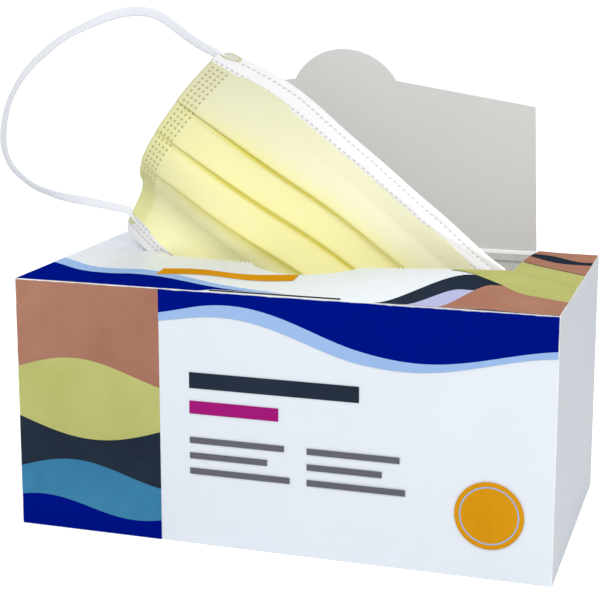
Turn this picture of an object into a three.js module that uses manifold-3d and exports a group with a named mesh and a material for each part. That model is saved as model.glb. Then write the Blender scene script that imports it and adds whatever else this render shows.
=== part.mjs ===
import * as THREE from 'three';
import { mergeVertices } from 'three/addons/utils/BufferGeometryUtils.js';
import Module from 'manifold-3d';

// A pleated surgical face mask that stands half out of the cardboard dispenser carton holding it.
// Millimetres, +Z up, front towards -Y, origin at the centre of the carton's base.

// Carton
const CARTON_W = 190;
const CARTON_D = 102;
const CARTON_H = 90;
const BOARD = 0.8;
const GLUE_STRIP_H = 3.6;

// Opening torn in the top panel: its depths are measured from the rear fold to the front lip
const OPENING_W = 144;
const LIP_END_DEPTH = 57.9;
const LIP_MIDDLE_DEPTH = 66.5;
const NOTCH_W = 39.4;
const NOTCH_DEPTH = 11.9;
const TORN_CORNER = 11;
const SLIT_W = 46;
const SLIT_GAP = 1.5;

// The top panel bows up where the opening weakens it: rows run from the left fold to the right fold,
// x as a share of half the carton's width, rise as a share of BOW_RISE
const BOW_RISE = 4.4;
const BOW = [
  { x: -1.00, rise: 0.00 },
  { x: -0.76, rise: 0.12 },
  { x: -0.60, rise: 0.60 },
  { x: 0.00, rise: 0.80 },
  { x: 0.60, rise: 1.00 },
  { x: 0.76, rise: 0.92 },
  { x: 1.00, rise: 0.00 },
];

// Lid: the torn flap, hinged on the rear top fold
const LID_LEAN = 12.5;
const LID_SIDE_GAP = 0.4;
const HINGE_GAP = 0.5;

// Mask, laid flat
const MASK_L = 175;
const MASK_H = 95;
const CLOTH = 1.2;
const BINDING_H = 8;
const BINDING_THICK = 1.6;
const PIECE_GAP = 0.3;
const UPPER_PANEL = 28;
const PLEAT_PITCH = 13;
const PLEAT_COUNT = 3;
const FOLD_RISE = 1.4;
const FOLD_OPEN = 1.8;
const WELD_W = 10;
const SHEET_STEPS = 30;
const LOWER_ROWS = 4;
const REAR_ROWS = 15;

// Where the mask stands: its upper left corner, the heading and droop of its long edge, its lean backward
const CORNER = new THREE.Vector3(-38, 5.3, 166.8);
const HEADING = -3.5;
const DROP = 33.5;
const LEAN_BACK = 20.8;

// How the cloth leans forward (degrees) down its height, at its left end and where it enters the carton;
// v as a share of MASK_H
const LEAN = [
  { v: 0.000, left: -39, right: 30 },
  { v: 0.147, left: -29, right: 47 },
  { v: 0.295, left: -6, right: 41 },
  { v: 0.432, left: 3, right: 15 },
  { v: 0.568, left: 43, right: -9 },
  { v: 0.695, left: 82, right: -27 },
  { v: 0.842, left: 29, right: -30 },
  { v: 1.000, left: 27, right: -30 },
];
const ENTRY = 135;

// Forms laid over that lean: the left end curls back, the top edge arches, the lower corner lifts,
// the top edge droops at the opening, and the hidden end turns back inside the carton
const CURL = 18.5;
const CURL_LENGTH = 40;
const CURL_ROWS = [
  { v: 0.000, curl: 0.00 },
  { v: 0.568, curl: 0.65 },
  { v: 1.000, curl: 1.00 },
];
const ARCH = 5.2;
const ARCH_AT = 32;
const ARCH_WIDTH = 26;
const LIFT = 1.4;
const LIFT_LENGTH = 22;
const LIFT_HEIGHT = 25;
const DROOP = 6;
const DROOP_AT = 122;
const DROOP_LENGTH = 12;
const DROOP_HEIGHT = 60;
const TURN_AT = 129;
const TURN_RADIUS = 20;
const TURN_ANGLE = 85;

// Ear loops: flat elastic, drawn as a round cord of its width
const ELASTIC = 3.4;
const LOOP_SIDES = 8;
const LOOP_STEPS = 34;
const LEFT_LOOP_ROUTE = [
  [-39.9, 3.0, 166.2], [-44.5, 2.1, 168.6], [-50.5, 0.9, 172.6], [-57.3, -0.9, 178.0], [-62.8, -1.7, 180.4],
  [-69.0, -2.0, 180.9], [-76.3, -2.1, 179.8], [-84.0, -1.9, 177.2], [-91.0, -1.5, 174.3], [-97.0, -1.1, 171.5],
  [-102.0, -0.7, 168.5], [-108.0, 0.1, 164.2], [-113.0, 0.9, 160.0], [-117.5, 1.8, 155.5], [-121.0, 2.7, 151.0],
  [-124.0, 3.7, 146.5], [-126.5, 4.8, 141.0], [-128.4, 6.2, 135.0], [-129.4, 7.6, 129.2], [-129.0, 8.8, 124.3],
  [-127.2, 9.9, 119.8], [-123.2, 11.4, 115.2], [-118.4, 12.4, 111.9], [-113.0, 13.1, 109.9], [-107.0, 13.8, 108.3],
  [-100.0, 14.4, 107.3], [-93.0, 15.0, 106.2], [-87.0, 15.6, 105.1], [-81.4, 16.7, 103.8],
];
const RIGHT_LOOP_ROUTE = [
  [78.0, 30.9, 64.9], [79.5, 36.5, 61.0], [81.5, 42.0, 54.0], [82.5, 47.4, 44.0], [81.5, 48.1, 32.0],
  [77.0, 48.1, 20.5], [68.0, 48.0, 10.0], [56.0, 47.0, 4.2], [42.0, 45.5, 2.95], [28.0, 43.5, 2.9],
  [15.0, 39.5, 2.9], [6.5, 32.5, 3.1], [7.0, 25.0, 4.0], [15.0, 20.8, 6.2], [27.0, 19.2, 8.8],
  [39.3, 19.5, 11.0],
];

const HALF_W = CARTON_W / 2;
const HALF_D = CARTON_D / 2;
const OPENING_HALF = OPENING_W / 2;

const { clamp, degToRad, lerp, smoothstep } = THREE.MathUtils;
const wasm = await Module();
wasm.setup();

const materials = {
  cloth: new THREE.MeshStandardMaterial({ color: 0xf3efb8, roughness: 0.9, metalness: 0 }),
  binding: new THREE.MeshStandardMaterial({ color: 0xf5f5ee, roughness: 0.9, metalness: 0 }),
  elastic: new THREE.MeshStandardMaterial({ color: 0xdadeea, roughness: 0.85, metalness: 0 }),
  printedBoard: new THREE.MeshStandardMaterial({ color: 0xe4e9f0, roughness: 0.45, metalness: 0 }),
  greyBoard: new THREE.MeshStandardMaterial({ color: 0xc9c9c8, roughness: 0.8, metalness: 0 }),
};

// A table's column between its rows.
function fromRows(rows, key, column, at) {
  const next = rows.findIndex((row) => row[key] >= at);
  if (next === 0) return rows[0][column];
  if (next < 0) return rows[rows.length - 1][column];
  const low = rows[next - 1];
  const high = rows[next];
  return lerp(low[column], high[column], (at - low[key]) / (high[key] - low[key]));
}

function toManifold(geometry) {
  const bare = geometry.clone();
  bare.deleteAttribute('normal');
  bare.deleteAttribute('uv');
  const merged = mergeVertices(bare, 1e-4);
  const vertProperties = new Float32Array(merged.attributes.position.array);
  const triVerts = new Uint32Array(merged.index.array);
  return new wasm.Manifold(new wasm.Mesh({ numProp: 3, vertProperties, triVerts }));
}

function fromManifold(solid) {
  const mesh = solid.getMesh();
  const geometry = new THREE.BufferGeometry();
  geometry.setAttribute('position', new THREE.BufferAttribute(mesh.vertProperties, 3));
  geometry.setIndex(new THREE.BufferAttribute(mesh.triVerts, 1));
  geometry.computeVertexNormals();
  return geometry;
}

function boxSpan(x0, x1, y0, y1, z0, z1) {
  const box = new THREE.BoxGeometry(x1 - x0, y1 - y0, z1 - z0);
  box.translate((x0 + x1) / 2, (y0 + y1) / 2, (z0 + z1) / 2);
  return box;
}

// The torn outline in the panel's own plane: x across, y the depth away from the rear fold.
function tornOutline(half, start, corner) {
  const notchHalf = NOTCH_W / 2;
  const radius = (notchHalf ** 2 + NOTCH_DEPTH ** 2) / (2 * NOTCH_DEPTH);
  const centre = LIP_MIDDLE_DEPTH + NOTCH_DEPTH - radius;
  const side = Math.asin((LIP_MIDDLE_DEPTH - centre) / radius);
  const slope = (LIP_MIDDLE_DEPTH - LIP_END_DEPTH) / (OPENING_HALF - notchHalf);
  const outline = new THREE.Shape();
  outline.moveTo(-half, start);
  outline.lineTo(half, start);
  outline.lineTo(half, LIP_END_DEPTH);
  outline.absarc(0, centre, radius, side, Math.PI - side, false);
  outline.lineTo(-half + corner, LIP_END_DEPTH + slope * corner);
  outline.quadraticCurveTo(-half, LIP_END_DEPTH, -half, LIP_END_DEPTH - corner);
  return outline;
}

// Height of the top panel over the carton's rim: highest along the lip, flat at the four folds.
function bowHeight(x, y) {
  const lip = HALF_D - LIP_END_DEPTH;
  const front = Math.sin((Math.PI / 2) * clamp((y + HALF_D) / (lip + HALF_D), 0, 1));
  const rear = Math.cos((Math.PI / 2) * clamp((y - lip) / (HALF_D - lip), 0, 1));
  return BOW_RISE * fromRows(BOW, 'x', 'rise', x / HALF_W) * front * rear;
}

function topPanel() {
  const panel = new THREE.BoxGeometry(CARTON_W, CARTON_D, BOARD, 26, 18, 1);
  panel.translate(0, 0, CARTON_H - BOARD / 2);
  const position = panel.attributes.position;
  for (let i = 0; i < position.count; i++) {
    position.setZ(i, position.getZ(i) + bowHeight(position.getX(i), position.getY(i)));
  }
  return panel;
}

// One folded board: walls and base, the bowed top with its opening and slit, the glue strip at the rear.
function cartonGeometry() {
  const inner = HALF_W - BOARD;
  const innerD = HALF_D - BOARD;
  const shell = toManifold(boxSpan(-HALF_W, HALF_W, -HALF_D, HALF_D, 0, CARTON_H))
    .subtract(toManifold(boxSpan(-inner, inner, -innerD, innerD, BOARD, CARTON_H * 2)));
  const opening = new THREE.ExtrudeGeometry(tornOutline(OPENING_HALF, BOARD, TORN_CORNER), {
    depth: CARTON_H, bevelEnabled: false, curveSegments: 10,
  });
  opening.rotateX(Math.PI);
  opening.translate(0, HALF_D, CARTON_H * 1.5);
  const slit = boxSpan(-SLIT_W / 2, SLIT_W / 2, -innerD, -innerD + SLIT_GAP, CARTON_H - BOARD * 2, CARTON_H * 2);
  const strip = boxSpan(
    -OPENING_HALF, OPENING_HALF, innerD - BOARD, innerD + BOARD / 2, CARTON_H - GLUE_STRIP_H, CARTON_H,
  );
  return fromManifold(
    shell.add(toManifold(topPanel())).subtract(toManifold(opening)).subtract(toManifold(slit)).add(toManifold(strip)),
  );
}

function lidGeometry() {
  const outline = tornOutline(OPENING_HALF - LID_SIDE_GAP, HINGE_GAP, TORN_CORNER);
  return new THREE.ExtrudeGeometry(outline, { depth: BOARD, bevelEnabled: false, curveSegments: 10 });
}

// The mask's own axes: along its length, up its face and out of its face.
function maskAxes() {
  const heading = degToRad(HEADING);
  const drop = degToRad(DROP);
  const lean = degToRad(LEAN_BACK);
  const along = new THREE.Vector3(
    Math.cos(drop) * Math.cos(heading), Math.cos(drop) * Math.sin(heading), -Math.sin(drop),
  );
  const level = new THREE.Vector3(along.y, -along.x, 0).normalize();
  const rising = new THREE.Vector3().crossVectors(level, along);
  const out = level.clone().multiplyScalar(Math.cos(lean)).addScaledVector(rising, Math.sin(lean));
  const down = new THREE.Vector3().crossVectors(along, out);
  return { along, down, out };
}
const AXES = maskAxes();

// How far the cloth has run down and forward at v, following one end's lean.
function crossRun(v, end) {
  const steps = Math.max(1, Math.ceil(v / 2));
  let down = 0;
  let forward = 0;
  for (let i = 0; i < steps; i++) {
    const lean = degToRad(fromRows(LEAN, 'v', end, ((i + 0.5) * v) / steps / MASK_H));
    down += (Math.cos(lean) * v) / steps;
    forward += (Math.sin(lean) * v) / steps;
  }
  return { down, forward };
}

// The cloth's middle surface: u along the mask from its shown end, v down it from the nose edge.
function sheetPoint(u, v) {
  const left = crossRun(v, 'left');
  const right = crossRun(v, 'right');
  const share = smoothstep(u, 0, ENTRY);
  const curl = CURL * fromRows(CURL_ROWS, 'v', 'curl', v / MASK_H) * clamp(1 - u / CURL_LENGTH, 0, 1) ** 2;
  const arch = ARCH * Math.exp(-(((u - ARCH_AT) / ARCH_WIDTH) ** 2)) * clamp(1 - v / UPPER_PANEL, 0, 1);
  const lift = LIFT * clamp(1 - u / LIFT_LENGTH, 0, 1) ** 2
    * clamp((v - MASK_H + LIFT_HEIGHT) / LIFT_HEIGHT, 0, 1) ** 2;
  const droop = DROOP * clamp((u - DROOP_AT) / DROOP_LENGTH, 0, 1) ** 2 * clamp(1 - v / DROOP_HEIGHT, 0, 1);
  const full = degToRad(TURN_ANGLE);
  const turned = clamp((u - TURN_AT) / TURN_RADIUS, 0, full);
  const rest = Math.max(0, u - TURN_AT - TURN_RADIUS * full);
  const run = Math.min(u, TURN_AT) + TURN_RADIUS * Math.sin(turned) + rest * Math.cos(full);
  const back = TURN_RADIUS * (1 - Math.cos(turned)) + rest * Math.sin(full);
  const down = lerp(left.down, right.down, share) - arch - lift + droop;
  const forward = lerp(left.forward, right.forward, share) + curl + back;
  return CORNER.clone().addScaledVector(AXES.along, run).addScaledVector(AXES.down, down)
    .addScaledVector(AXES.out, -forward);
}

function sheetNormal(u, v) {
  const step = 0.5;
  const across = sheetPoint(u + step, v).sub(sheetPoint(u - step, v));
  const down = sheetPoint(u, Math.min(v + step, MASK_H)).sub(sheetPoint(u, Math.max(v - step, 0)));
  return across.cross(down).negate().normalize();
}

// A closed solid along the sheet. Its section has x = v and y = the layer: 0 on the rear face, 1 on the
// front face, and above 1 the share of the fold's rise.
function sheetSolid(section, thickness) {
  const geometry = new THREE.ExtrudeGeometry(section, {
    depth: MASK_L, steps: SHEET_STEPS, bevelEnabled: false, curveSegments: 1,
  });
  const position = geometry.attributes.position;
  for (let i = 0; i < position.count; i++) {
    const v = position.getX(i);
    const layer = position.getY(i);
    const u = MASK_L - position.getZ(i);
    const offset = thickness * (Math.min(layer, 1) - 0.5) + Math.max(layer - 1, 0) * foldRise(u);
    const place = sheetPoint(u, v).addScaledVector(sheetNormal(u, v), offset);
    position.setXYZ(i, place.x, place.y, place.z);
  }
  geometry.computeVertexNormals();
  return geometry;
}

// The folds are pressed flat in the weld band and stand open towards the mask's middle.
function foldRise(u) {
  const pressed = lerp(0.6, 1, smoothstep(u, 0, WELD_W * 1.5));
  const open = Math.sin((Math.PI * clamp(u, 0, MASK_L)) / MASK_L);
  return FOLD_RISE * pressed + FOLD_OPEN * open * smoothstep(u, WELD_W, WELD_W * 4);
}

// Round one fold: v from the fold's edge as a share of the pleat pitch, rise as a share of the fold's
// rise. The edge hangs free over the cloth below it.
const FOLD_ROWS = [
  { v: -0.62, rise: 0.00 },
  { v: -0.36, rise: 0.70 },
  { v: -0.10, rise: 0.98 },
  { v: 0.00, rise: 1.00 },
  { v: 0.00, rise: 0.50 },
  { v: -0.20, rise: 0.42 },
  { v: -0.20, rise: 0.00 },
  { v: 0.18, rise: 0.00 },
];

function panelSection() {
  const top = BINDING_H + PIECE_GAP;
  const end = MASK_H - BINDING_H - PIECE_GAP;
  const section = new THREE.Shape();
  section.moveTo(top, 1);
  section.lineTo(UPPER_PANEL / 2, 1);
  for (let pleat = 0; pleat < PLEAT_COUNT; pleat++) {
    const edge = UPPER_PANEL + pleat * PLEAT_PITCH;
    for (const fold of FOLD_ROWS) section.lineTo(edge + fold.v * PLEAT_PITCH, 1 + fold.rise);
  }
  const last = UPPER_PANEL + (PLEAT_COUNT - 0.5) * PLEAT_PITCH;
  for (let i = 0; i <= LOWER_ROWS; i++) section.lineTo(lerp(last, end, i / LOWER_ROWS), 1);
  for (let i = 0; i <= REAR_ROWS; i++) section.lineTo(lerp(end, top, i / REAR_ROWS), 0);
  return section;
}

function bindingSection(from, to) {
  const middle = (from + to) / 2;
  const section = new THREE.Shape();
  section.moveTo(from, 1);
  section.lineTo(middle, 1);
  section.lineTo(to, 1);
  section.lineTo(to, 0);
  section.lineTo(middle, 0);
  section.lineTo(from, 0);
  return section;
}

function loopGeometry(route) {
  const path = new THREE.CatmullRomCurve3(route.map((point) => new THREE.Vector3(...point)));
  const section = new THREE.Shape();
  for (let i = 0; i < LOOP_SIDES; i++) {
    const angle = (2 * Math.PI * i) / LOOP_SIDES;
    const point = [(ELASTIC / 2) * Math.cos(angle), (ELASTIC / 2) * Math.sin(angle)];
    if (i === 0) section.moveTo(...point);
    else section.lineTo(...point);
  }
  return new THREE.ExtrudeGeometry(section, { extrudePath: path, steps: LOOP_STEPS, bevelEnabled: false });
}

const mask = new THREE.Group();
function addMesh(group, name, geometry, material) {
  const mesh = new THREE.Mesh(geometry, material);
  mesh.name = name;
  group.add(mesh);
  return mesh;
}

addMesh(mask, 'mask_panel', sheetSolid(panelSection(), CLOTH), materials.cloth);
addMesh(mask, 'nose_binding', sheetSolid(bindingSection(0, BINDING_H), BINDING_THICK), materials.binding);
const chinSection = bindingSection(MASK_H - BINDING_H, MASK_H);
addMesh(mask, 'chin_binding', sheetSolid(chinSection, BINDING_THICK), materials.binding);
addMesh(mask, 'ear_loop_left', loopGeometry(LEFT_LOOP_ROUTE), materials.elastic);
addMesh(mask, 'ear_loop_right', loopGeometry(RIGHT_LOOP_ROUTE), materials.elastic);

const dispenser = new THREE.Group();
addMesh(dispenser, 'carton', cartonGeometry(), materials.printedBoard);
const lid = addMesh(dispenser, 'lid', lidGeometry(), materials.greyBoard);
lid.rotation.x = Math.PI / 2 + degToRad(LID_LEAN);
lid.position.set(0, HALF_D, CARTON_H);

const model = new THREE.Group();
model.add(mask, dispenser);

export default model;
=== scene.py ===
"""A pleated surgical face mask drawn half out of the cardboard dispenser carton that holds it."""
import bpy
import numpy as np
from mathutils import Matrix, Vector


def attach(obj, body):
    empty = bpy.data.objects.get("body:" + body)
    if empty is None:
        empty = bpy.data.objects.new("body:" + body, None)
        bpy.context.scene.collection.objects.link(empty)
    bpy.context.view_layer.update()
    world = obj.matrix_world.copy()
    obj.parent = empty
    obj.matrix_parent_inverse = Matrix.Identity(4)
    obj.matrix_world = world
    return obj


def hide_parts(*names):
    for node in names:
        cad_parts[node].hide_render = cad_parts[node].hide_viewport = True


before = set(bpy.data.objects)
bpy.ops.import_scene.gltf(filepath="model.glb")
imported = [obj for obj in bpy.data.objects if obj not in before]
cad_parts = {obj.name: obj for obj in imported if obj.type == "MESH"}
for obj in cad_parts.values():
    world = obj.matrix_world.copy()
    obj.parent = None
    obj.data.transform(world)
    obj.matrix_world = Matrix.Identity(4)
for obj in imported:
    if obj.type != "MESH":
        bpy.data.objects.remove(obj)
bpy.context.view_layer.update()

MM = 0.001

# Carton, in millimetres
CARTON_W, CARTON_D, CARTON_H = 190.0, 102.0, 90.0
BOARD = 0.8
OPENING_W = 144.0
LIP_END_DEPTH, LIP_MIDDLE_DEPTH = 57.9, 66.5
NOTCH_W, NOTCH_DEPTH = 39.4, 11.9
BOW_RISE = 4.4
BOW = np.array([[-1, 0], [-0.76, 0.12], [-0.60, 0.60], [0, 0.80], [0.60, 1.0], [0.76, 0.92], [1, 0]])
LID_LEAN = 12.5

# Mask, laid flat, in millimetres
MASK_L, MASK_H = 175.0, 95.0
BINDING_H = 8.0
UPPER_PANEL, PLEAT_PITCH, PLEATS = 28.0, 13.0, 3
FOLD_DEPTH = 10.0
FOLD_RISE, FOLD_OPEN = 1.4, 1.8
CLOTH = 0.45
WELD_W = 9.5
# How far the cloth runs in under a binding, and the bindings' thicknesses
HEM, NOSE_THICK, CHIN_THICK = 1.5, 1.3, 1.2
# The cut corners of the left end: how much is cut along the mask, and over what height
TOP_CUT, TOP_CUT_HEIGHT = 4.0, 4.5
LOW_CUT, LOW_CUT_HEIGHT = 2.5, 5.0
# Millimetres in one unit of a piece's own UV map
UV_UNIT = 100.0

# The mask's place: upper left corner, heading and droop of the long edge, lean backward
CORNER = np.array([-38.0, 5.3, 166.8])
HEADING, DROP, LEAN_BACK = -3.5, 33.5, 20.8
# v as a share of the height, lean at the left end, lean at the carton (degrees)
LEAN = np.array([
    [0.000, -39, 30], [0.147, -29, 47], [0.295, -6, 41], [0.432, 3, 15],
    [0.568, 43, -9], [0.695, 82, -27], [0.842, 29, -30], [1.000, 27, -30]])
# u where the cloth has taken the carton's cross section
ENTRY = 135.0
# Size of each form laid over the sheet, its place along the mask, and its width, length or height: the
# curled left end, the arch of the long edge, the lift of the low corner, the long edge drawn straight, its
# slow and its quick droop before the opening, and the turn inside the carton
CURL, CURL_LENGTH = 18.5, 40.0
CURL_ROWS = np.array([[0, 0], [0.568, 0.65], [1, 1]])
ARCH, ARCH_AT, ARCH_WIDTH = 5.2, 32.0, 26.0
LIFT, LIFT_LENGTH, LIFT_HEIGHT = 1.4, 22.0, 25.0
STRAIGHTEN, STRAIGHTEN_AT, STRAIGHTEN_WIDTH = 2.0, 70.0, 22.0
DROOP_SLOW, DROOP_SLOW_AT, DROOP_SLOW_LENGTH = 1.9, 98.0, 28.0
DROOP_FAST, DROOP_FAST_AT, DROOP_FAST_LENGTH, DROOP_HEIGHT = 4.1, 129.0, 6.0, 60.0
TURN_AT, TURN_RADIUS, TURN_ANGLE = 129.0, 20.0, 85.0

# Ear loops: flat knitted elastic
ELASTIC_W, ELASTIC_THICK = 3.4, 0.8
LOOP_POINTS, SECTION_POINTS, TWIST_BLUR = 230, 20, 15
LEFT_LOOP_ROUTE = [
    (-39.9, 3.0, 166.2), (-44.5, 2.1, 168.6), (-50.5, 0.9, 172.6), (-57.3, -0.9, 178.0),
    (-62.8, -1.7, 180.4), (-69.0, -2.0, 180.9), (-76.3, -2.1, 179.8), (-84.0, -1.9, 177.2),
    (-91.0, -1.5, 174.3), (-97.0, -1.1, 171.5), (-102.0, -0.7, 168.5), (-108.0, 0.1, 164.2),
    (-113.0, 0.9, 160.0), (-117.5, 1.8, 155.5), (-121.0, 2.7, 151.0), (-124.0, 3.7, 146.5),
    (-126.5, 4.8, 141.0), (-128.4, 6.2, 135.0), (-129.4, 7.6, 129.2), (-129.0, 8.8, 124.3),
    (-127.2, 9.9, 119.8), (-123.2, 11.4, 115.2), (-118.4, 12.4, 111.9), (-113.0, 13.1, 109.9),
    (-107.0, 13.8, 108.3), (-100.0, 14.4, 107.3), (-93.0, 15.0, 106.2), (-87.0, 15.6, 105.1),
    (-81.4, 16.7, 103.8)]
RIGHT_LOOP_ROUTE = [
    (78.0, 30.9, 64.9), (79.5, 36.5, 61.0), (81.5, 42.0, 54.0), (82.5, 47.4, 44.0), (81.5, 48.1, 32.0),
    (77.0, 48.1, 20.5), (68.0, 48.0, 10.0), (56.0, 47.0, 4.2), (42.0, 45.5, 2.95), (28.0, 43.5, 2.9),
    (15.0, 39.5, 2.9), (6.5, 32.5, 3.1), (7.0, 25.0, 4.0), (15.0, 20.8, 6.2), (27.0, 19.2, 8.8),
    (39.3, 19.5, 11.0)]
# share of the loop's length, how far the ribbon's face is turned from the viewer (degrees)
LEFT_TWIST = np.array([
    [0.00, 18], [0.07, 28], [0.20, 6], [0.34, -40], [0.42, -26], [0.52, -46], [0.60, -36], [0.68, -40],
    [0.77, -52], [0.84, -12], [0.93, 30], [1.00, 40]])
RIGHT_TWIST = np.array([[0.0, 0], [0.5, 60], [1.0, 0]])
# u, v and height of the loops' two welded ends on the mask's sheet, behind the bindings
LEFT_TABS = ((5.0, 4.2, -1.2), (5.5, 88.5, -1.1))
RIGHT_TABS = ((MASK_L - 5.0, 4.2, -1.2), (MASK_L - 5.0, 88.5, -1.1))

# Camera: found from the carton's corners
CAMERA_AT = np.array([156.7, -516.5, 201.0])
CAMERA_YAW, CAMERA_PITCH = -17.54, 10.62
FOCAL_PIXELS, IMAGE_PIXELS, CENTRE_ROW = 1520.0, 600.0, 240.0


def smooth(x):
    """3x squared minus 2x cubed, of x held between 0 and 1."""
    x = np.clip(x, 0, 1)
    return x * x * (3 - 2 * x)


def fade(x, length):
    """From 1 at 0 straight down to 0 at length."""
    return np.clip(1 - x / length, 0, 1)


def bell(x, centre, width):
    """e to the minus square of the distance from the centre, in widths."""
    return np.exp(-((x - centre) / width) ** 2)


def unit(v):
    return v / np.linalg.norm(v, axis=-1, keepdims=True)


def running(steps):
    """The running total of the steps, from 0."""
    return np.concatenate([[0], np.cumsum(steps)])


# Camera


def camera_axes():
    """Forward, right and up of the camera from its yaw and its pitch down."""
    yaw, pitch = np.radians([CAMERA_YAW, CAMERA_PITCH])
    forward = np.array([np.sin(yaw) * np.cos(pitch), np.cos(yaw) * np.cos(pitch), -np.sin(pitch)])
    right = np.array([np.cos(yaw), -np.sin(yaw), 0.0])
    return forward, right, np.cross(right, forward)


def make_camera():
    forward, right, up = camera_axes()
    data = bpy.data.cameras.new("camera")
    data.sensor_width = 36.0
    data.lens = FOCAL_PIXELS / IMAGE_PIXELS * data.sensor_width
    data.shift_y = (CENTRE_ROW - IMAGE_PIXELS / 2) / IMAGE_PIXELS
    data.clip_start = 0.01
    camera = bpy.data.objects.new("camera", data)
    turn = Matrix([right, up, -forward]).transposed().to_4x4()
    camera.matrix_world = Matrix.Translation(Vector(CAMERA_AT * MM)) @ turn
    bpy.context.scene.collection.objects.link(camera)
    bpy.context.scene.camera = camera


make_camera()
TO_VIEWER = -camera_axes()[0]


# Meshes


def linear(hex_colour):
    """An sRGB hex colour as linear RGBA."""
    s = np.array([int(hex_colour[i:i + 2], 16) / 255 for i in (1, 3, 5)])
    rgb = np.where(s <= 0.04045, s / 12.92, ((s + 0.055) / 1.055) ** 2.4)
    return (*rgb.tolist(), 1.0)


def add_mesh(name, points, faces, uv=None, shade=True, slots=None, values=None):
    """A mesh object from points in millimetres. uv holds one pair for each point, slots a material index for
    each face, and values a column of numbers for each point attribute that it names."""
    mesh = bpy.data.meshes.new(name)
    mesh.from_pydata((np.asarray(points) * MM).tolist(), [], [list(face) for face in faces])
    if uv is not None:
        corner_points = np.empty(len(mesh.loops), dtype=np.int32)
        mesh.loops.foreach_get("vertex_index", corner_points)
        layer = mesh.uv_layers.new(name="cloth")
        layer.data.foreach_set("uv", np.asarray(uv, dtype=np.float32)[corner_points].ravel())
    for key, column in (values or {}).items():
        attribute = mesh.attributes.new(key, "FLOAT", "POINT")
        attribute.data.foreach_set("value", np.asarray(column, dtype=np.float32))
    if slots is not None:
        mesh.polygons.foreach_set("material_index", np.asarray(slots, dtype=np.int32))
    mesh.polygons.foreach_set("use_smooth", np.full(len(mesh.polygons), shade))
    mesh.update()
    item = bpy.data.objects.new(name, mesh)
    bpy.context.scene.collection.objects.link(item)
    return item


def grid_faces(rows, columns, wrap=False):
    """Quads of a grid of rows by columns points, row by row; wrap joins the last row to the first."""
    last = rows if wrap else rows - 1
    r, c = np.meshgrid(np.arange(last), np.arange(columns - 1), indexing="ij")
    a = r * columns + c
    b = ((r + 1) % rows) * columns + c
    return np.stack([a, a + 1, b + 1, b], axis=-1).reshape(-1, 4)


def end_caps(rows, columns):
    """The two end faces of a wrapped grid: round its first column, and the other way round its last."""
    first = np.arange(rows) * columns
    return [first.tolist(), (first + columns - 1).tolist()[::-1]]


def apply_modifiers(item):
    """Applies the object's modifiers to its mesh."""
    depsgraph = bpy.context.evaluated_depsgraph_get()
    mesh = bpy.data.meshes.new_from_object(item.evaluated_get(depsgraph))
    item.modifiers.clear()
    item.data = mesh


def solidify(item, thickness, offset=0.0):
    wall = item.modifiers.new("wall", "SOLIDIFY")
    wall.thickness = thickness * MM
    wall.offset = offset
    wall.use_even_offset = False
    apply_modifiers(item)


def belong(item, node=None):
    """Gives the piece its body, and hides the soft solid that it stands for."""
    if node is not None:
        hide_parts(node)
    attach(item, "dispenser")


# The mask's sheet


def mask_axes():
    """Along the mask, down its face and out of its face."""
    heading, drop, lean = np.radians([HEADING, DROP, LEAN_BACK])
    along = np.array([np.cos(drop) * np.cos(heading), np.cos(drop) * np.sin(heading), -np.sin(drop)])
    level = unit(np.array([along[1], -along[0], 0.0]))
    out = level * np.cos(lean) + np.cross(level, along) * np.sin(lean)
    return along, np.cross(along, out), out


ALONG, DOWN, OUT = mask_axes()


def cross_run(v, column):
    """How far the cloth runs down and forward at v: integrals of cosine and sine of one end's lean."""
    line = np.linspace(0, MASK_H, 191)
    lean = np.radians(np.interp(line / MASK_H, LEAN[:, 0], LEAN[:, column]))
    down, forward = (running((part(lean[1:]) + part(lean[:-1])) / 2 * line[1]) for part in (np.cos, np.sin))
    return np.interp(v, line, down), np.interp(v, line, forward)


def sheet_point(u, v):
    """The cloth's middle surface. Its cross section blends from the left end's to the one at the carton;
    over it lie the curl, the arch, the lift, the droop at the opening and the hidden end's turn."""
    u, v = np.broadcast_arrays(np.asarray(u, float), np.asarray(v, float))
    left_down, left_forward = cross_run(v, 1)
    right_down, right_forward = cross_run(v, 2)
    share = smooth(u / ENTRY)
    curl = CURL * np.interp(v / MASK_H, CURL_ROWS[:, 0], CURL_ROWS[:, 1]) * fade(u, CURL_LENGTH) ** 2
    arch = ARCH * bell(u, ARCH_AT, ARCH_WIDTH) * fade(v, UPPER_PANEL)
    arch = arch + STRAIGHTEN * bell(u, STRAIGHTEN_AT, STRAIGHTEN_WIDTH) * fade(v, MASK_H)
    lift = LIFT * fade(u, LIFT_LENGTH) ** 2 * fade(MASK_H - v, LIFT_HEIGHT) ** 2
    droop = DROOP_SLOW * smooth((u - DROOP_SLOW_AT) / DROOP_SLOW_LENGTH)
    droop = droop + DROOP_FAST * smooth((u - DROOP_FAST_AT) / DROOP_FAST_LENGTH)
    droop = droop * fade(v, DROOP_HEIGHT)
    full = np.radians(TURN_ANGLE)
    turned = np.clip((u - TURN_AT) / TURN_RADIUS, 0, full)
    rest = np.clip(u - TURN_AT - TURN_RADIUS * full, 0, None)
    run = np.minimum(u, TURN_AT) + TURN_RADIUS * np.sin(turned) + rest * np.cos(full)
    back = TURN_RADIUS * (1 - np.cos(turned)) + rest * np.sin(full)
    down = left_down * (1 - share) + right_down * share - arch - lift + droop
    forward = left_forward * (1 - share) + right_forward * share + curl + back
    return CORNER + run[..., None] * ALONG + down[..., None] * DOWN - forward[..., None] * OUT


def sheet_normal(u, v):
    """Out of the cloth's face: across crossed with down, by small steps."""
    step = 0.5
    across = sheet_point(u + step, v) - sheet_point(u - step, v)
    down = sheet_point(u, np.minimum(v + step, MASK_H)) - sheet_point(u, np.maximum(v - step, 0))
    return -unit(np.cross(across, down))


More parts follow.
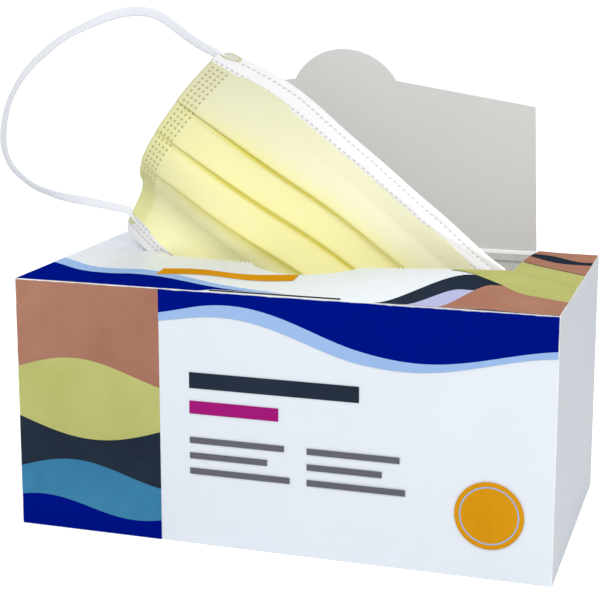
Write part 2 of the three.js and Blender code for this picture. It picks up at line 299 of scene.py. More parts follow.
def on_sheet(u, v, w):
    """A point w in front of the cloth's middle surface."""
    return sheet_point(u, v) + sheet_normal(u, v) * np.asarray(w)[..., None]


def corner_cut(u, v):
    """u with the two corners of the left end cut off: the end starts later near the top and bottom edges."""
    start = TOP_CUT * fade(v, TOP_CUT_HEIGHT) + LOW_CUT * fade(MASK_H - v, LOW_CUT_HEIGHT) ** 1.5
    return start + u * (MASK_L - start) / MASK_L


def fold_open(u):
    """How far a fold stands open: nothing in the weld band, most at the mask's middle."""
    return FOLD_OPEN * np.sin(np.pi * u / MASK_L) * smooth((u - WELD_W) / (3 * WELD_W))


def fold_path():
    """The cloth's path through the three Z-folds: rows of v, height over the middle surface, how much of
    the fold's opening it takes, and how deep it lies in the fold's shade."""
    rows = [(BINDING_H - HEM, 0.1, 0.0, 0.0), (BINDING_H + 4, 0.0, 0.0, 0.0)]
    for pleat in range(PLEATS):
        edge = UPPER_PANEL + pleat * PLEAT_PITCH
        shade = 0.0 if pleat == 0 else 0.12
        rows += [
            (edge - FOLD_DEPTH - 2.0, 0.15, 0.0, shade), (edge - FOLD_DEPTH + 1.0, 0.85, 0.05, shade),
            (edge - 4.5, 1.25, 0.50, 0.10), (edge - 1.0, FOLD_RISE + 0.1, 0.95, 0.22),
            (edge - 0.15, FOLD_RISE, 1.0, 0.55), (edge, FOLD_RISE - 0.2, 0.98, 0.9),
            (edge - 0.3, FOLD_RISE - 0.55, 0.92, 1.0), (edge - 5.0, 0.72, 0.35, 1.0),
            (edge - FOLD_DEPTH + 0.4, 0.52, 0.03, 1.0), (edge - FOLD_DEPTH, 0.30, 0.0, 1.0),
            (edge - FOLD_DEPTH + 0.4, 0.05, 0.0, 1.0), (edge - 4.0, -0.05, 0.0, 1.0),
            (edge - 0.6, 0.0, 0.0, 1.0), (edge + 1.0, 0.0, 0.0, 0.62), (edge + 2.6, 0.0, 0.0, 0.30),
            (edge + 5.0, 0.0, 0.0, 0.10)]
    rows += [(62, 0.0, 0.0, 0.05), (70, 0.0, 0.0, 0.0), (80, 0.0, 0.0, 0.0),
             (MASK_H - BINDING_H + HEM, 0.1, 0.0, 0.0)]
    return np.array(rows, dtype=float)


def smooth_path(rows, step=0.55, soften=2):
    """The path drawn again at an even step along its length, with its corners softened."""
    length = running(np.hypot(np.diff(rows[:, 0]), np.diff(rows[:, 1])))
    at = np.linspace(0, length[-1], int(length[-1] / step))
    path = np.stack([np.interp(at, length, rows[:, i]) for i in range(rows.shape[1])], axis=1)
    for _ in range(soften):
        path[1:-1] = (path[:-2] + 2 * path[1:-1] + path[2:]) / 4
    return path


def make_panel():
    """The pleated cloth: the fold path carried along the mask, with slow waves in the cloth."""
    path = smooth_path(fold_path())
    columns = 150
    u = np.linspace(0, MASK_L, columns)[None, :]
    v, height, share, shade = (path[:, i][:, None] for i in range(4))
    pressed = 0.30 + 0.70 * smooth((u - 1.0) / (1.3 * WELD_W))
    waves = 0.22 * np.sin(u / 17 + v / 9) * np.sin(v / 21 + 1) + 0.12 * np.sin(u / 7.3 - v / 11)
    w = height * pressed + share * fold_open(u) + waves * smooth((u - WELD_W) / 12)
    points = on_sheet(corner_cut(u, v), v + 0 * u, w)
    uv = np.stack([u + 0 * v, v + 0 * u], axis=-1) / UV_UNIT
    # painted shade: how much of the deeper fold yellow each point gets, less near the left end; it stands
    # for the shade and bounced yellow light in the folds
    deep = shade * (0.25 + 0.75 * smooth((u - 6) / 30)) + 0 * u
    forwards = np.convolve(np.gradient(path[:, 0]) > 0, np.ones(5), mode="same") > 4.5
    downward = forwards[:, None] + 0 * u
    panel = add_mesh("mask_cloth", points.reshape(-1, 3), grid_faces(len(path), columns), uv.reshape(-1, 2),
                     values={"shade": deep.ravel(), "downward": downward.ravel()})
    solidify(panel, CLOTH)
    return panel


def make_binding(name, inner, outer, thick):
    """A folded strip over the mask's edge: a closed section from the inner hem on the face, round the edge
    and back, carried along the mask. Two pressed lines run along it."""
    out = np.sign(outer - inner)
    width = abs(outer - inner)
    turn = np.linspace(np.pi / 2, -np.pi / 2, 9)
    edge = thick / 2
    hem = np.linspace(0, width - edge, 22)
    reach = np.concatenate([hem, width - edge + edge * np.cos(turn)[1:-1], hem[::-1]])
    side = np.concatenate([np.full_like(hem, edge), edge * np.sin(turn)[1:-1], np.full_like(hem, -edge)])
    taper = 0.55 + 0.45 * smooth(reach / 1.2)
    pressed = 0.16 * bell(reach, 0.8, 0.5) + 0.16 * bell(reach, 5.3, 0.6)
    w = (side * taper - np.sign(side) * pressed)[:, None]
    v = (inner + out * reach)[:, None]
    columns = 260
    u = np.linspace(0, MASK_L, columns)[None, :]
    ripple = 0.10 * np.sin(u / 3.1 + v) + 0.08 * np.sin(u / 8.3)
    v_all = np.clip(v + 0 * u, 0, MASK_H)
    points = on_sheet(corner_cut(u, v_all), v_all, w + ripple * smooth((u - 6) / 10))
    uv = np.stack([u + 0 * v, v_all], axis=-1) / UV_UNIT
    rows = len(reach)
    faces, caps = grid_faces(rows, columns, wrap=True), end_caps(rows, columns)
    if out < 0:
        faces, caps = faces[:, ::-1], [cap[::-1] for cap in caps]
    return add_mesh(name, points.reshape(-1, 3), faces.tolist() + caps, uv.reshape(-1, 2))


# Ear loops


def curve_through(points, count):
    """A Catmull-Rom curve through the points, drawn again with even steps along its length."""
    p = np.asarray(points, float)
    p = np.concatenate([[2 * p[0] - p[1]], p, [2 * p[-1] - p[-2]]])
    t = np.linspace(0, 1, 12, endpoint=False)[None, :, None]
    a, b, c, d = (p[i:len(p) - 3 + i][:, None, :] for i in range(4))
    line = 0.5 * (2 * b + (c - a) * t + (2 * a - 5 * b + 4 * c - d) * t ** 2
                  + (3 * b - a - 3 * c + d) * t ** 3)
    line = np.concatenate([line.reshape(-1, 3), p[-2:-1]])
    length = running(np.linalg.norm(np.diff(line, axis=0), axis=1))
    at = np.linspace(0, length[-1], count)
    return np.stack([np.interp(at, length, line[:, i]) for i in range(3)], axis=1), length[-1]


def make_loop(name, route, twist, node, tabs):
    """A flat elastic ribbon: a rounded flat section carried along the route, turned by the twist table.
    Its two ends run on behind the mask to the tabs' places on the sheet, where they are welded."""
    start_tab, end_tab = (on_sheet(*place)[None] for place in tabs)
    path, length = curve_through(np.concatenate([start_tab, np.asarray(route), end_tab]), LOOP_POINTS)
    forward = unit(np.gradient(path, axis=0))
    face = unit(TO_VIEWER - (forward @ TO_VIEWER)[:, None] * forward)
    side = np.cross(forward, face)
    angle = np.radians(np.interp(np.linspace(0, 1, len(path)), twist[:, 0], twist[:, 1]))
    kernel = np.ones(TWIST_BLUR) / TWIST_BLUR
    angle = np.convolve(np.pad(angle, TWIST_BLUR // 2, mode="edge"), kernel, mode="valid")[:, None]
    flat = side * np.cos(angle) + face * np.sin(angle)
    thin = face * np.cos(angle) - side * np.sin(angle)
    around = np.linspace(0, 2 * np.pi, SECTION_POINTS, endpoint=False)
    across = np.sign(np.cos(around)) * np.abs(np.cos(around)) ** 0.6 * ELASTIC_W / 2
    through = np.sign(np.sin(around)) * np.abs(np.sin(around)) ** 0.8 * ELASTIC_THICK / 2
    points = path[None] + across[:, None, None] * flat[None] + through[:, None, None] * thin[None]
    along = np.linspace(0, length, len(path))
    rows, columns = points.shape[:2]
    uv = np.stack([along + 0 * across[:, None], across[:, None] + 0 * along], axis=-1) / UV_UNIT
    faces = grid_faces(rows, columns, wrap=True)[:, ::-1].tolist()
    caps = [cap[::-1] for cap in end_caps(rows, columns)]
    loop = add_mesh(name, points.reshape(-1, 3), faces + caps, uv.reshape(-1, 2))
    belong(loop, node)
    return loop


left_loop = make_loop("elastic_left", LEFT_LOOP_ROUTE, LEFT_TWIST, "ear_loop_left", LEFT_TABS)
right_loop = make_loop("elastic_right", RIGHT_LOOP_ROUTE, RIGHT_TWIST, "ear_loop_right", RIGHT_TABS)

mask_cloth = make_panel()
belong(mask_cloth, "mask_panel")
nose_strip = make_binding("nose_strip", BINDING_H, 0.0, NOSE_THICK)
belong(nose_strip, "nose_binding")
chin_strip = make_binding("chin_strip", MASK_H - BINDING_H, MASK_H, CHIN_THICK)
belong(chin_strip, "chin_binding")


# The carton's top panel

LIP_EDGE = CARTON_D / 2 - LIP_END_DEPTH


def bow_height(x, y):
    """Height of the top panel over the rim: a sine rise to the lip, a cosine fall behind it."""
    front = np.sin(np.pi / 2 * np.clip((y + CARTON_D / 2) / (LIP_EDGE + CARTON_D / 2), 0, 1))
    rear = np.cos(np.pi / 2 * np.clip((y - LIP_EDGE) / (CARTON_D / 2 - LIP_EDGE), 0, 1))
    return BOW_RISE * np.interp(x / (CARTON_W / 2), BOW[:, 0], BOW[:, 1]) * front * rear


# Materials

# Weld marks, in millimetres: dots in columns near the mask's end, dashes in rows on the edging
DOT_START, DOT_COLUMNS, DOT_PITCH, DOT_RADIUS = 2.4, 4, 2.0, 0.48
DOTS_TOP, DOTS_LOW = 8.6, 62.0
DASH_W, DASH_L, DASH_PITCH = 0.5, 1.1, 2.2
# v of the edging's rows of dashes; u, v, two radii, centre colour and rim colour of its melted patch
NOSE_ROWS, NOSE_PATCH = (2.8, 7.2), (2.9, 2.4, 3.3, 1.9, "#DAD9CE", "#CDCA98")
CHIN_ROWS, CHIN_PATCH = (87.8, 89.6, 91.4), (1.6, 89.2, 2.4, 2.2, "#E6E4B0", "#DAD798")
# Light on the thin cloth: at the upper left corner, gain per millimetre of u and of v, and the most; the
# light at which the glow starts, the least and the most glow
LIGHT_START, LIGHT_ALONG, LIGHT_DOWN, LIGHT_MOST = 0.68, 0.0036, 0.0040, 0.93
GLOW_FROM, GLOW_LEAST, GLOW_MOST = 0.88, 0.05, 0.34
# Light and glow of the edging: at the left end, gain per millimetre of u, and the most
EDGING_LIGHT, EDGING_LIGHT_ALONG, EDGING_LIGHT_MOST = 0.87, 0.0016, 1.0
EDGING_GLOW, EDGING_GLOW_ALONG, EDGING_GLOW_MOST = -0.18, 0.0035, 0.25
# Noise of the board's fibre and of its worn folds, in clumps per metre
FINE_FIBRE, WORN_FIBRE = 900.0, 160.0
# Depth of the bumps, in metres
CLOTH_RELIEF, BOARD_RELIEF = 0.0003, 0.0002


def add_node(tree, kind, links=None, sockets=None, **settings):
    """Adds a shader node with its settings, its socket values and the links into it."""
    item = tree.nodes.new("ShaderNode" + kind)
    for key, value in settings.items():
        setattr(item, key, value)
    for key, value in (sockets or {}).items():
        item.inputs[key].default_value = value
    for key, source in (links or {}).items():
        tree.links.new(source, item.inputs[key])
    return item


def new_material(name, roughness, **sockets):
    """A material with its shader; the uniform values are set on the shader's own sockets."""
    material = bpy.data.materials.new(name)
    material.use_nodes = True
    shader = material.node_tree.nodes["Principled BSDF"]
    shader.inputs["Roughness"].default_value = roughness
    for key, value in sockets.items():
        shader.inputs[key.replace("_", " ")].default_value = value
    return material, material.node_tree, shader


def mix_colours(tree, factor, first, second):
    """Colour first to colour second by factor; each colour is a socket or an sRGB hex."""
    mix = add_node(tree, "Mix", data_type="RGBA", links={"Factor": factor})
    for index, value in ((6, first), (7, second)):
        if isinstance(value, str):
            mix.inputs[index].default_value = linear(value)
        else:
            tree.links.new(value, mix.inputs[index])
    return mix.outputs[2]


def maths(tree, operation, first, second=0.0, third=None):
    """One sum; each of its terms is a socket or a number."""
    node = add_node(tree, "Math", operation=operation)
    for index, value in enumerate((first, second) if third is None else (first, second, third)):
        if isinstance(value, (int, float)):
            node.inputs[index].default_value = value
        else:
            tree.links.new(value, node.inputs[index])
    return node.outputs[0]


def product(tree, first, *others):
    """The product of two or more values."""
    for other in others:
        first = maths(tree, "MULTIPLY", first, other)
    return first


def distance(tree, across, along):
    """The square root of the sum of two squares."""
    squares = maths(tree, "ADD", product(tree, across, across), product(tree, along, along))
    return maths(tree, "SQRT", squares)


def hold(tree, value, low, high):
    """The value, held between low and high."""
    return maths(tree, "MINIMUM", maths(tree, "MAXIMUM", value, low), high)


def ramp(tree, value, start, end, first, last):
    """A smooth step: first where the value is at start, last where it is at end."""
    step = add_node(tree, "MapRange", links={"Value": value}, interpolation_type="SMOOTHSTEP",
                    sockets={"From Min": start, "From Max": end, "To Min": first, "To Max": last})
    return step.outputs["Result"]


def between(tree, value, low, high, soft):
    """1 where value lies from low to high, falling to 0 over soft outside."""
    centre, half = (low + high) / 2, (high - low) / 2
    away = maths(tree, "ABSOLUTE", maths(tree, "SUBTRACT", value, centre))
    return ramp(tree, away, half, half + soft, 1.0, 0.0)


def repeat(tree, value, pitch, start=0.0):
    """Distance of value from the nearest line of a row of lines at an even pitch."""
    shifted = maths(tree, "SUBTRACT", value, start)
    return maths(tree, "PINGPONG", shifted, pitch / 2)


def dimmed(tree, colour, share):
    """The colour times the share."""
    scaled = add_node(tree, "VectorMath", operation="SCALE", links={0: colour, "Scale": share})
    return scaled.outputs["Vector"]


def add_glow(tree, shader, colour, strength):
    """A glow of the surface in its own colour."""
    tree.links.new(colour, shader.inputs["Emission Color"])
    tree.links.new(strength, shader.inputs["Emission Strength"])


def finish_shader(tree, shader, colour, height, strength, depth):
    """Gives the shader its colour, and the height as a bump of that strength and depth."""
    tree.links.new(colour, shader.inputs["Base Color"])
    bump = add_node(tree, "Bump", links={"Height": height},
                    sockets={"Strength": strength, "Distance": depth})
    tree.links.new(bump.outputs[0], shader.inputs["Normal"])


# Cloth and elastic


def cloth_position(tree):
    """The piece's own UV map, and from it u and v in millimetres."""
    uv = add_node(tree, "UVMap", uv_map="cloth").outputs[0]
    split = add_node(tree, "SeparateXYZ", links={"Vector": uv})
    u, v = (maths(tree, "MULTIPLY", split.outputs[i], UV_UNIT) for i in range(2))
    return uv, u, v


def point_value(tree, name):
    """A value that the mesh holds at each of its points."""
    held = add_node(tree, "Attribute", attribute_name=name, attribute_type="GEOMETRY")
    return held.outputs["Fac"]


def weld_dots(tree, u, v):
    """Round weld points: columns near the mask's end, from DOTS_TOP down to DOTS_LOW."""
    far = distance(tree, repeat(tree, u, DOT_PITCH, DOT_START), repeat(tree, v, DOT_PITCH))
    dot = ramp(tree, far, DOT_RADIUS * 0.7, DOT_RADIUS * 1.25, 1.0, 0.0)
    last, spare = DOT_START + DOT_PITCH * (DOT_COLUMNS - 1), DOT_PITCH / 3
    in_columns = between(tree, u, DOT_START - spare, last + spare, 0.05)
    in_rows = between(tree, v, DOTS_TOP, DOTS_LOW, 0.05)
    return product(tree, dot, in_columns, in_rows)


def stitch_dashes(tree, u, v, line):
    """A row of short weld dashes along one line of v."""
    on_line = between(tree, v, line - DASH_W / 2, line + DASH_W / 2, 0.12)
    on_dash = between(tree, repeat(tree, u, DASH_PITCH), -1.0, DASH_L / 2, 0.15)
    return product(tree, on_line, on_dash)


def nonwoven_fibre(tree, uv, size):
    """Fine fibre clumps of spunbond cloth, size in clumps per UV unit."""
    stretch = add_node(tree, "Mapping", links={"Vector": uv}, sockets={"Scale": (1.0, 1.7, 1.0)})
    fine = add_node(tree, "TexNoise", links={"Vector": stretch.outputs[0]},
                    sockets={"Scale": size, "Detail": 4.0, "Roughness": 0.65})
    return fine.outputs["Fac"]


def inner_side(tree):
    """1 on the cloth's white inner layer: where the surface faces away from the mask's front, except in the
    folds' middle layers, which are turned round."""
    normal = add_node(tree, "NewGeometry").outputs["True Normal"]
    facing = add_node(tree, "VectorMath", operation="DOT_PRODUCT", links={0: normal},
                      sockets={1: OUT.tolist()})
    away = maths(tree, "LESS_THAN", facing.outputs["Value"], 0.0)
    return product(tree, away, point_value(tree, "downward"))


def spunbond_yellow():
    """Spunbond polypropylene, dyed pale yellow: matte, greyer above the first pleat, with painted shade in a
    deeper yellow in the folds, and greenish in the pressed band with its weld dots, where painted olive
    shade grows below the third pleat. Painted shade dims it towards the free end; a faint painted glow,
    stronger towards the carton, stands for the light through the thin cloth."""
    material, tree, shader = new_material("spunbond_polypropylene_yellow", 0.92, Sheen_Weight=0.1,
                                          Sheen_Roughness=0.6, Specular_IOR_Level=0.2)
    uv, u, v = cloth_position(tree)
    fibre = nonwoven_fibre(tree, uv, 90.0)
    patches = add_node(tree, "TexNoise", links={"Vector": uv}, sockets={"Scale": 3.2, "Detail": 2.0})
    pale = mix_colours(tree, patches.outputs["Fac"], "#F5F3C6", "#F3F0AC")
    greyer = mix_colours(tree, ramp(tree, v, 20.0, 34.0, 0.7, 0.0), pale, "#EFEED6")
    mottled = mix_colours(tree, product(tree, fibre, 0.16), greyer, "#D3D07C")
    # painted shade: the folds' shade, painted as a deeper yellow by the shade attribute
    deep = mix_colours(tree, point_value(tree, "shade"), mottled, "#F2E84E")
    # greenish pressed band, with painted olive shade that grows below the third pleat, where the cloth turns
    # away from the light
    band = between(tree, u, -WELD_W, WELD_W - 3.5, 4.5)
    pressed = product(tree, band, ramp(tree, v, 54.0, 62.0, 0.16, 0.6))
    pressed_and_shaded = mix_colours(tree, pressed, deep, "#D6D684")
    dots = weld_dots(tree, u, v)
    dotted = mix_colours(tree, product(tree, dots, 0.7), pressed_and_shaded, "#A09E6A")
    # painted shade: the cloth's colour is dimmed towards its upper left corner and free end
    light = maths(tree, "MULTIPLY_ADD", v, LIGHT_DOWN, LIGHT_START)
    light = maths(tree, "MULTIPLY_ADD", u, LIGHT_ALONG, light)
    outer = dimmed(tree, dotted, maths(tree, "MINIMUM", light, LIGHT_MOST))
    lined = mix_colours(tree, inner_side(tree), outer, "#F4F4EE")
    # painted light: a glow where the painted light is strongest, for the light through the thin cloth
    above = maths(tree, "SUBTRACT", light, GLOW_FROM)
    add_glow(tree, shader, lined, hold(tree, above, GLOW_LEAST, GLOW_MOST))
    height = maths(tree, "SUBTRACT", product(tree, fibre, 0.35), dots)
    finish_shader(tree, shader, lined, height, 0.35, CLOTH_RELIEF)
    return material


def spunbond_white(name, rows, patch):
    """Folded white spunbond edging: matte, closed by rows of small ultrasonic dashes; the weld patch at its
    end is melted to a smoother beige. Painted shade dims it towards the free end, and a painted glow near
    the carton stands for the light through the cloth."""
    material, tree, shader = new_material(name, 0.9, Sheen_Weight=0.2, Specular_IOR_Level=0.2)
    uv, u, v = cloth_position(tree)
    fibre = nonwoven_fibre(tree, uv, 110.0)
    base = mix_colours(tree, product(tree, fibre, 0.3), "#F7F6F8", "#E4E3E6")
    dashes = stitch_dashes(tree, u, v, rows[0])
    for row in rows[1:]:
        dashes = maths(tree, "MAXIMUM", dashes, stitch_dashes(tree, u, v, row))
    patch_u, patch_v, radius_u, radius_v, centre_colour, rim_colour = patch
    across = maths(tree, "DIVIDE", maths(tree, "SUBTRACT", u, patch_u), radius_u)
    along = maths(tree, "DIVIDE", maths(tree, "SUBTRACT", v, patch_v), radius_v)
    ragged = product(tree, maths(tree, "SUBTRACT", fibre, 0.5), 0.7)
    far = maths(tree, "ADD", distance(tree, across, along), ragged)
    rim = between(tree, far, 0.0, 1.0, 0.12)
    core = between(tree, far, 0.0, 0.72, 0.15)
    marked = mix_colours(tree, product(tree, dashes, 0.6), base, "#B0B0A8")
    rimmed = mix_colours(tree, rim, marked, rim_colour)
    cored = mix_colours(tree, core, rimmed, centre_colour)
    # painted shade: the edging is dimmed towards its free end
    light = maths(tree, "MULTIPLY_ADD", u, EDGING_LIGHT_ALONG, EDGING_LIGHT)
    outer = dimmed(tree, cored, maths(tree, "MINIMUM", light, EDGING_LIGHT_MOST))
    # painted light: a glow near the carton, for the light through the cloth
    glow = maths(tree, "MULTIPLY_ADD", u, EDGING_GLOW_ALONG, EDGING_GLOW)
    add_glow(tree, shader, outer, hold(tree, glow, 0.0, EDGING_GLOW_MOST))
    pressed = maths(tree, "MAXIMUM", dashes, core)
    height = maths(tree, "SUBTRACT", product(tree, fibre, 0.4), pressed)
    finish_shader(tree, shader, outer, height, 0.4, CLOTH_RELIEF)
    return material


def knitted_elastic():
    """Flat knitted elastic of polyester and spandex: matte white, with fine ribs along it and cross
    stitches, and painted shade in the grooves between them."""
    material, tree, shader = new_material("knitted_elastic_white", 0.8, Sheen_Weight=0.3,
                                          Specular_IOR_Level=0.3)
    along, across = cloth_position(tree)[1:]
    ribs = repeat(tree, across, 0.85, 0.42)
    loops = repeat(tree, along, 0.9)
    height = maths(tree, "ADD", product(tree, ribs, 1.6), product(tree, loops, 0.3))
    # painted shade: the colour is darker where the knit's surface is low, in its grooves
    colour = mix_colours(tree, product(tree, height, 0.5), "#DFE2EA", "#F0F1F6")
    finish_shader(tree, shader, colour, height, 0.25, CLOTH_RELIEF)
    return material


# Board, ink and floor


def object_place(tree):
    """The object's own coordinates, in metres."""
    return add_node(tree, "TexCoord").outputs["Object"]


def millimetres(tree, place):
    """x, y and z of the place, in millimetres."""
    split = add_node(tree, "SeparateXYZ", links={"Vector": place})
    return [maths(tree, "MULTIPLY", split.outputs[i], 1000.0) for i in range(3)]


def board_fibre(tree, place, scale):
    """Noise of the board's fibres, scale in clumps per metre."""
    noise = add_node(tree, "TexNoise", links={"Vector": place},
                     sockets={"Scale": scale, "Detail": 5.0, "Roughness": 0.6})
    return noise.outputs["Fac"]


def fold_wear(tree, place):
    """White cracks along the carton's folds: within half a millimetre of two outer faces at once, broken up
    by noise."""
    x, y, z = millimetres(tree, place)
    near_x = maths(tree, "SUBTRACT", CARTON_W / 2, maths(tree, "ABSOLUTE", x))
    near_y = maths(tree, "SUBTRACT", CARTON_D / 2, maths(tree, "ABSOLUTE", y))
    near_z = maths(tree, "ABSOLUTE", maths(tree, "SUBTRACT", CARTON_H, z))
    upright = maths(tree, "MAXIMUM", near_x, near_y)
    short = maths(tree, "MAXIMUM", near_x, near_z)
    long = maths(tree, "MAXIMUM", near_y, near_z)
    near = maths(tree, "MINIMUM", upright, maths(tree, "MINIMUM", short, long))
    noise = board_fibre(tree, place, WORN_FIBRE)
    broken = maths(tree, "ADD", near, product(tree, noise, 0.9))
    return ramp(tree, broken, 0.45, 0.85, 1.0, 0.0)


def within(tree, value, half):
    """1 where the value lies less than half away from 0."""
    return maths(tree, "LESS_THAN", maths(tree, "ABSOLUTE", value), half)


def coated_board():
    """Clay-coated folding boxboard: satin bluish white outside, grey recycled fibre inside, a white torn
    edge round the opening, a painted shadow on the cut edge in the slit, and white cracks where the coating
    breaks at folds."""
    material, tree, shader = new_material("coated_boxboard_white", 0.42, Specular_IOR_Level=0.45,
                                          Coat_Weight=0.12, Coat_Roughness=0.25)
    place = object_place(tree)
    x, y, z = millimetres(tree, place)
    fibre = board_fibre(tree, place, FINE_FIBRE)
    slow = board_fibre(tree, place, 14.0)
    outside = mix_colours(tree, slow, "#DDE5EF", "#E7EDF4")
    walled = product(tree, within(tree, x, (CARTON_W - BOARD) / 2), within(tree, y, (CARTON_D - BOARD) / 2))
    normal = add_node(tree, "NewGeometry").outputs["True Normal"]
    upward = add_node(tree, "SeparateXYZ", links={"Vector": normal}).outputs[2]
    under = maths(tree, "LESS_THAN", z, CARTON_H - BOARD - 0.05)
    facing_down = maths(tree, "LESS_THAN", upward, -0.5)
    above_base = maths(tree, "GREATER_THAN", z, BOARD / 2)
    inner = product(tree, walled, above_base, maths(tree, "MAXIMUM", under, facing_down))
    inside = mix_colours(tree, fibre, "#B4B4B1", "#CFCFCC")
    coloured = mix_colours(tree, inner, outside, inside)
    upright = within(tree, upward, 0.5)
    high = maths(tree, "GREATER_THAN", z, CARTON_H - BOARD - 0.1)
    torn = product(tree, walled, upright, high)
    bright = mix_colours(tree, torn, coloured, "#F7F7F4")
    # painted shadow: the slit's cut edge is coloured dark, for the shade of the gap behind it
    slit = product(tree, torn, maths(tree, "LESS_THAN", y, -0.45 * CARTON_D))
    slit_shadowed = mix_colours(tree, slit, bright, "#3C3B3A")
    cracked = mix_colours(tree, fold_wear(tree, place), slit_shadowed, "#FBFBFA")
    finish_shader(tree, shader, cracked, fibre, 0.08, BOARD_RELIEF)
    return material


def torn_board():
    """The board's torn white middle: fibrous and matte."""
    material, tree, shader = new_material("torn_board_white", 0.85, Specular_IOR_Level=0.2)
    fibre = board_fibre(tree, object_place(tree), 1200.0)
    colour = mix_colours(tree, fibre, "#FAFAF8", "#E2E2DE")
    tree.links.new(colour, shader.inputs["Base Color"])
    return material


def printing_ink(name, first, second, scale):
    """Offset ink on coated board: flat, a slow shift between two tones, and the folds' white cracks."""
    material, tree, shader = new_material(name, 0.5, Specular_IOR_Level=0.0)
    place = object_place(tree)
    tone = mix_colours(tree, board_fibre(tree, place, scale), first, second)
    cracked = mix_colours(tree, fold_wear(tree, place), tone, "#F6F6F4")
    finish_shader(tree, shader, cracked, board_fibre(tree, place, FINE_FIBRE), 0.06, BOARD_RELIEF)
    return material


def grey_board():
    """The lid: smooth grey recycled board on its inner side, matte; white coating on its outer side, which
    lies on the plane through the hinge, leant by LID_LEAN."""
    material, tree, shader = new_material("recycled_greyboard", 0.75, Specular_IOR_Level=0.3)
    place = object_place(tree)
    y, z = millimetres(tree, place)[1:]
    fibre = board_fibre(tree, place, 700.0)
    slow = board_fibre(tree, place, 10.0)
    grey = mix_colours(tree, slow, "#DDDDDC", "#D5D5D4")
    flecked = mix_colours(tree, product(tree, fibre, 0.2), grey, "#C4C4C2")
    lean = np.radians(LID_LEAN)
    back = product(tree, maths(tree, "SUBTRACT", y, CARTON_D / 2), float(np.cos(lean)))
    depth = maths(tree, "MULTIPLY_ADD", maths(tree, "SUBTRACT", z, CARTON_H), float(np.sin(lean)), back)
    outside = maths(tree, "GREATER_THAN", depth, -0.3 * BOARD)
    coated = mix_colours(tree, outside, flecked, "#E8EDF3")
    finish_shader(tree, shader, coated, fibre, 0.1, BOARD_RELIEF)
    return material


def studio_floor():
    """Translucent white sheet, lit from below for the camera alone, so that it fades into the white."""
    material, tree, shader = new_material("studio_sheet_white", 0.9, Emission_Color=(1.0, 1.0, 1.0, 1.0))
    seen = add_node(tree, "LightPath").outputs["Is Camera Ray"]
    tree.links.new(product(tree, seen, 0.6), shader.inputs["Emission Strength"])
    noise = board_fibre(tree, object_place(tree), 3.0)
    colour = mix_colours(tree, noise, "#DADADA", "#DEDEDE")
    tree.links.new(colour, shader.inputs["Base Color"])
    return material


def dress(item, material):
    item.data.materials.clear()
    item.data.materials.append(material)


elastic = knitted_elastic()
dress(left_loop, elastic)
dress(right_loop, elastic)
dress(mask_cloth, spunbond_yellow())
dress(nose_strip, spunbond_white("spunbond_edging_nose", NOSE_ROWS, NOSE_PATCH))
dress(chin_strip, spunbond_white("spunbond_edging_chin", CHIN_ROWS, CHIN_PATCH))
dress(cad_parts["carton"], coated_board())
dress(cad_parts["lid"], grey_board())


# Print on the carton: flat areas of ink that lie a hair above the board, each next one a little higher

INK, INK_STEP = 0.05, 0.03
# How far the print stays from the carton's edges, from the opening, and from the rear fold
MARGIN, BESIDE, REAR = 0.2, 0.6, 0.3
TOP_FOLD = -CARTON_D / 2 + MARGIN
# Each ink's two tones, and the scale of the slow shift between them
INKS = {
    "navy": ("#00168A", "#000F78", 9.0), "light_blue": ("#A4C0EA", "#8DB0E2", 9.0),
    "gold": ("#DDA21A", "#C9820F", 40.0), "tan": ("#B98A74", "#94604E", 30.0),
    "teal": ("#4A8FB4", "#2C6E96", 60.0), "olive": ("#C6C780", "#ABAD62", 40.0),
    "magenta": ("#A81C7C", "#96186E", 9.0), "grey": ("#6E6E78", "#5C5C66", 9.0),
    "slate": ("#2E3848", "#1C2430", 40.0), "lilac": ("#BFC0E0", "#A9ABD6", 40.0)}
# The front's left part, top to bottom: ink, and its lower edge's height, rise, length and phase
FRONT_SPLIT = -41.0
FRONT_WAVES = [("tan", 58, 5, 90, 0.4), ("olive", 40, 6, 110, 2.2), ("slate", 22, 4, 80, 1.1),
               ("teal", 9, 3, 70, 3.0)]
# The front's bars: from x, to x, from z, height, ink
FRONT_BARS = [
    (-30, 30, 56.0, 5.6, "slate"), (-30, 2, 47.0, 4.6, "magenta"), (-30, 4, 36.5, 2.2, "grey"),
    (-30, -2, 31.0, 2.2, "grey"), (-30, 6, 25.5, 2.2, "grey"), (12, 44, 36.5, 2.2, "grey"),
    (12, 38, 31.0, 2.2, "grey"), (12, 46, 25.5, 2.2, "grey")]
# The front's disc: x, z, radius, and the ring's outer radius and inner share of it
DISC_X, DISC_Z, DISC_R, RING_R, RING_INNER = 74.0, 22.0, 11.5, 9.9, 0.955


def on_front(x, z):
    return np.stack([x, np.full_like(x, -CARTON_D / 2 - INK), z], axis=-1)


def on_top(x, y):
    """On the top panel; a little higher where the panel creases beside the opening."""
    crease = 0.28 * np.exp(-((np.abs(x) - OPENING_W / 2) / 6.0) ** 2)
    return np.stack([x, y, CARTON_H + bow_height(x, y) + INK + crease], axis=-1)


def ink_band(place, x0, x1, low, high, columns=48, rows=6):
    """An area between two curves, low(x) and high(x), from x0 to x1, put on a face by place."""
    x = np.linspace(x0, x1, columns)[None, :]
    share = np.linspace(0, 1, rows)[:, None]
    lower, upper = low(x) + 0 * x, high(x) + 0 * x
    across = x + 0 * share
    points = place(across, lower * (1 - share) + upper * share)
    return points.reshape(-1, 3), grid_faces(rows, columns)


def ink_disc(place, x, y, radius, inner=0.0):
    """A disc or a ring of ink round x, y."""
    angle = np.linspace(0, 2 * np.pi, 49)[None, :]
    share = np.linspace(max(inner, 0.001), 1, 5)[:, None]
    points = place(x + radius * share * np.cos(angle), y + radius * share * np.sin(angle))
    return points.reshape(-1, 3), grid_faces(5, 49)[:, ::-1]


